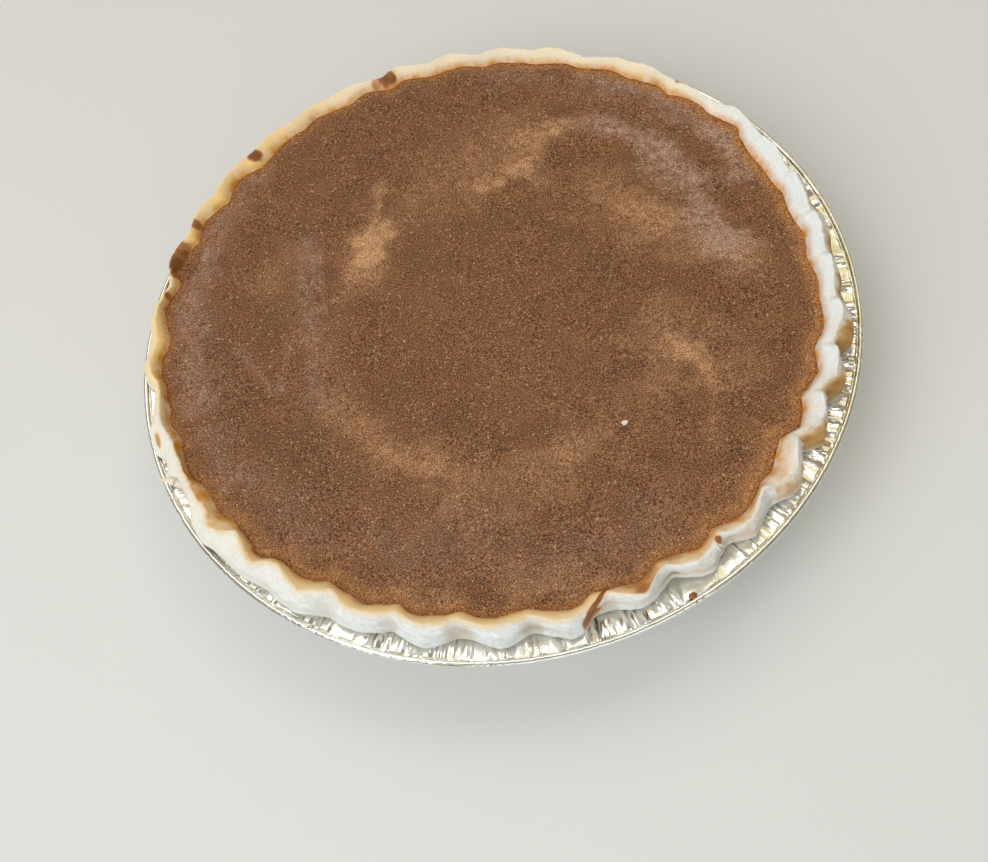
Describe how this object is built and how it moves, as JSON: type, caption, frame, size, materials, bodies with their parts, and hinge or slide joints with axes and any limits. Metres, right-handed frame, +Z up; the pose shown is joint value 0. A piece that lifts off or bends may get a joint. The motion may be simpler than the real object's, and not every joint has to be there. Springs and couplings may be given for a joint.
{
  "type": "egg pie",
  "caption": "Round custard pie with a browned, nearly flat top and a hand-fluted pastry rim, in a shallow flared foil tin with a creased flange and a rolled edge.",
  "frame": {"origin": "centre of the tin's flat base, on the surface the tin stands on", "axes": "+Z up; -Y towards the side that the picture shows nearest; +X to the right from there"},
  "size_m": [0.222, 0.222, 0.0391],
  "materials": {
    "foil": "bright, creased foil",
    "pastry": "matte, floury, browned at the edges",
    "custard": "satin baked skin, mottled"
  },
  "bodies": {
    "root": {"tin": "foil", "crust": "pastry", "filling": "custard"}
  },
  "joints": []
}
